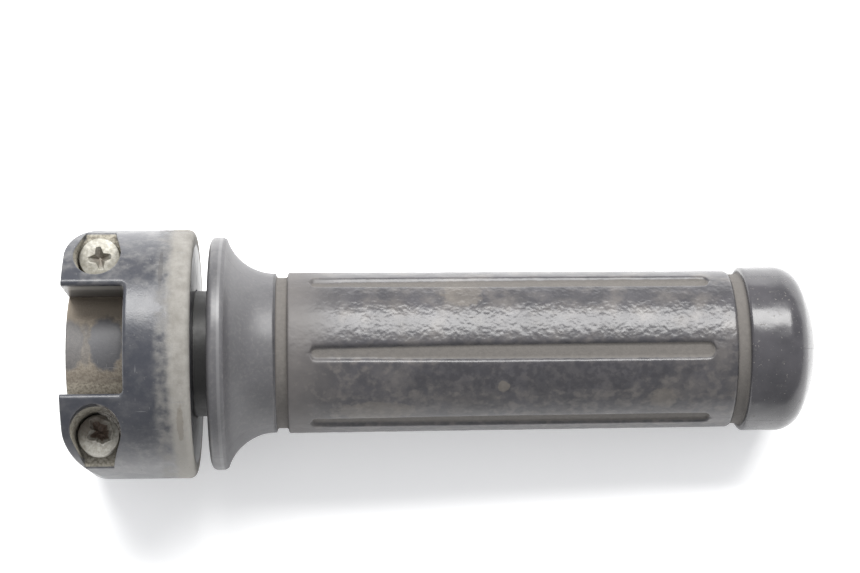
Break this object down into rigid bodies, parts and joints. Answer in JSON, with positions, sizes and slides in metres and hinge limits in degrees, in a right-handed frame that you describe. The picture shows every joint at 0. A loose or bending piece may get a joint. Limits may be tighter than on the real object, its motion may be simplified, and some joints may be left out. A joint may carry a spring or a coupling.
{
  "type": "throttle grip",
  "caption": "Right-hand twist throttle grip: a clamp housing with a relief pocket, and a flanged rubber grip with lengthwise flutes and a closed end on a turning tube.",
  "frame": {"origin": "on the handlebar's axis, at the inboard face of the clamp housing", "axes": "+X outboard along the bar to the grip's closed end, +Z the side that the clamp screws' heads face, +Y across the bar"},
  "size_m": [0.1548, 0.0516, 0.0516],
  "materials": {
    "housing_plastic": "satin black plastic, dusty",
    "grip_rubber": "worn black rubber",
    "screw_steel": "dull zinc plate",
    "insert_brass": "turned",
    "socket_steel": "turned, zinc plated",
    "tube_plastic": "moulded nylon, black",
    "nylon": "natural nylon",
    "felt": "greased felt"
  },
  "bodies": {
    "housing": {"front_housing": "housing_plastic", "rear_housing": "housing_plastic", "upper_clamp_screw": "screw_steel", "lower_clamp_screw": "screw_steel", "lock_washers": "screw_steel", "threaded_inserts": "insert_brass", "cable_socket": "socket_steel", "cable_guide": "nylon", "thrust_washer": "nylon", "dust_seal": "felt"},
    "twist_grip": {"throttle_tube": "tube_plastic", "grip_rubber": "grip_rubber"}
  },
  "joints": [
    {"name": "throttle_twist", "type": "hinge", "parent": "housing", "child": "twist_grip", "pos_m": [0, 0, 0], "axis": [1, 0, 0], "range_deg": [0, 78]}
  ]
}
